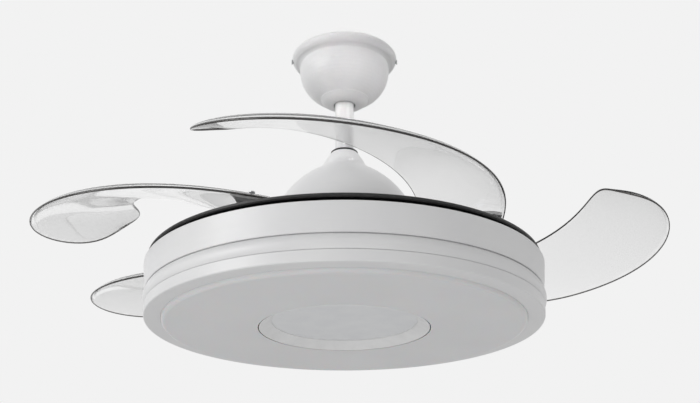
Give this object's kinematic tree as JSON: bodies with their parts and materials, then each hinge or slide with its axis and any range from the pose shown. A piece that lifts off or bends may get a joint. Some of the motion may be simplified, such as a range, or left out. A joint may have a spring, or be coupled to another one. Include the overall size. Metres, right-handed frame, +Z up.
{
  "type": "retractable blade ceiling fan",
  "caption": "Ceiling fan with a round lamp drum and clear curved blades that fold in over it, on a short down rod with a ceiling cup.",
  "frame": {"origin": "on the ceiling plane, over the middle of the fan: the top face of the ceiling bracket", "axes": "+Z up to the ceiling, -Y towards the picture's viewer, +X to the viewer's right"},
  "size_m": [0.8335, 0.7975, 0.3931],
  "materials": {
    "white_steel": "satin white powder coat",
    "white_abs": "satin moulded ABS",
    "white_plastic": "moulded, fine grain",
    "opal_acrylic": "opal, satin",
    "clear_lens": "clear, polished",
    "clear_acrylic": "clear, polished, darker at the edges",
    "holder_nylon": "moulded nylon",
    "grey_nylon": "moulded nylon",
    "black_rubber": "matt",
    "black_steel": "satin black powder coat",
    "zinc_steel": "zinc plated",
    "screw_steel": "zinc plated",
    "bearing_steel": "ground",
    "spring_steel": "drawn wire",
    "core_steel": "laminated",
    "copper_wire": "enamelled copper",
    "cast_aluminium": "die cast",
    "sheet_aluminium": "mill finish",
    "magnet": "ferrite",
    "white_board": "solder mask",
    "led_chip": "phosphor"
  },
  "bodies": {
    "ceiling_mount": {"ceiling_bracket": "zinc_steel", "ball_cradle": "zinc_steel", "canopy": "white_steel", "canopy_screws": "screw_steel", "canopy_cover": "white_steel", "terminal_block": "white_plastic"},
    "hanging_unit": {"hanger_ball": "grey_nylon", "ball_pin": "screw_steel", "down_rod": "white_steel", "gasket_ring": "black_rubber", "coupling_cover": "white_steel", "rod_yoke": "zinc_steel", "yoke_pin": "screw_steel", "yoke_screws": "screw_steel", "motor_cover": "white_steel", "cover_screws": "screw_steel", "motor_shaft": "zinc_steel", "stator_core": "core_steel", "stator_windings": "copper_wire", "lamp_base": "zinc_steel", "lamp_nut": "screw_steel", "lamp_housing": "white_abs", "trim_ring": "white_abs", "lower_ring": "white_abs", "diffuser": "opal_acrylic", "bezel": "white_plastic", "centre_lens": "clear_lens", "lens_holder": "white_plastic", "led_plate": "sheet_aluminium", "led_board": "white_board", "centre_led_board": "white_board", "leds": "led_chip", "led_driver": "white_plastic", "fan_controller": "white_plastic", "lamp_rim_screws": "screw_steel", "led_plate_screws": "screw_steel"},
    "rotor": {"rotor_upper_shell": "cast_aluminium", "rotor_lower_shell": "cast_aluminium", "rotor_magnets": "magnet", "bearing_upper": "bearing_steel", "bearing_lower": "bearing_steel", "rotor_screws": "screw_steel", "blade_plate": "black_steel", "plate_screws": "screw_steel", "pivot_studs": "zinc_steel", "blade_stops": "black_rubber", "return_springs": "spring_steel"},
    "blade_unit_1": {"blade_1": "clear_acrylic", "blade_holder_1": "holder_nylon", "blade_screws_1": "screw_steel"},
    "blade_unit_2": {"blade_2": "clear_acrylic", "blade_holder_2": "holder_nylon", "blade_screws_2": "screw_steel"},
    "blade_unit_3": {"blade_3": "clear_acrylic", "blade_holder_3": "holder_nylon", "blade_screws_3": "screw_steel"},
    "blade_unit_4": {"blade_4": "clear_acrylic", "blade_holder_4": "holder_nylon", "blade_screws_4": "screw_steel"}
  },
  "joints": [
    {"name": "hang_tilt", "type": "hinge", "parent": "ceiling_mount", "child": "hanging_unit", "pos_m": [0, 0, -0.046], "axis": [1, 0, 0], "range_deg": [-2, 2]},
    {"name": "rotor_spin", "type": "hinge", "parent": "hanging_unit", "child": "rotor", "pos_m": [0, 0, -0.3], "axis": [0, 0, 1], "continuous": true},
    {"name": "blade_swing_1", "type": "hinge", "parent": "rotor", "child": "blade_unit_1", "pos_m": [0.09211, 0.16618, -0.305], "axis": [0, 0, 1], "range_deg": [-64, 48]},
    {"name": "blade_swing_2", "type": "hinge", "parent": "rotor", "child": "blade_unit_2", "pos_m": [-0.16618, 0.09211, -0.305], "axis": [0, 0, 1], "range_deg": [-111, 1]},
    {"name": "blade_swing_3", "type": "hinge", "parent": "rotor", "child": "blade_unit_3", "pos_m": [-0.09211, -0.16618, -0.305], "axis": [0, 0, 1], "range_deg": [-50, 62]},
    {"name": "blade_swing_4", "type": "hinge", "parent": "rotor", "child": "blade_unit_4", "pos_m": [0.16618, -0.09211, -0.305], "axis": [0, 0, 1], "range_deg": [-32, 80]}
  ]
}
